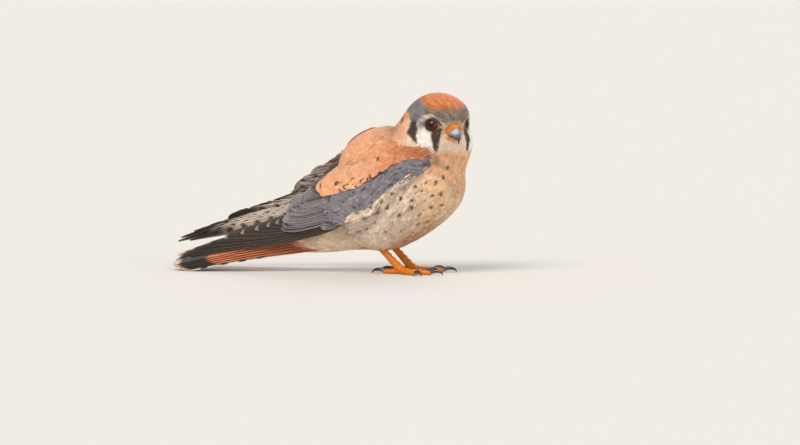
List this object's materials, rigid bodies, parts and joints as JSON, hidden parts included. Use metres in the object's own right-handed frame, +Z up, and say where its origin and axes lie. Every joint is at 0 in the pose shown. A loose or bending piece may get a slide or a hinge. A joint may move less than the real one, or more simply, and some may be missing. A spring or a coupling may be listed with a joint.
{
  "type": "american kestrel",
  "caption": "Small falcon standing with folded wings and long tail laid to the floor, its head turned towards its right side.",
  "frame": {"origin": "on the floor, under the middle of the bird's outline", "axes": "+Z up, the body faces -Y, +X is the bird's left side"},
  "size_m": [0.0692, 0.209, 0.1207],
  "materials": {
    "head_feathers": "slate-grey crown sides, rufous crown patch, white cheeks with two dark stripes",
    "throat_feathers": "cream throat and rufous-buff nape",
    "body_feathers": "rufous back, peach breast fading to cream, small dark spots",
    "wing_feathers": "slate-grey coverts with dark marks, dark brown primaries",
    "tail_feathers": "rufous vanes with a black band and pale tips",
    "leg_skin": "bright orange scaled skin",
    "cere_skin": "smooth waxy orange skin",
    "bill_horn": "blue-grey horn with a darker tip",
    "claw_horn": "dark grey polished horn",
    "eye": "very dark brown wet iris with a black pupil"
  },
  "bodies": {
    "root": {"head": "head_feathers", "neck": "throat_feathers", "torso": "body_feathers", "tail": "tail_feathers", "wing_left": "wing_feathers", "wing_right": "wing_feathers", "thigh_left": "body_feathers", "thigh_right": "body_feathers", "leg_left": "leg_skin", "leg_right": "leg_skin", "cere": "cere_skin", "bill_upper": "bill_horn", "bill_lower": "bill_horn", "eye_left": "eye", "eye_right": "eye", "claw_left_inner": "claw_horn", "claw_left_middle": "claw_horn", "claw_left_outer": "claw_horn", "claw_left_hind": "claw_horn", "claw_right_inner": "claw_horn", "claw_right_middle": "claw_horn", "claw_right_outer": "claw_horn", "claw_right_hind": "claw_horn"}
  },
  "joints": []
}
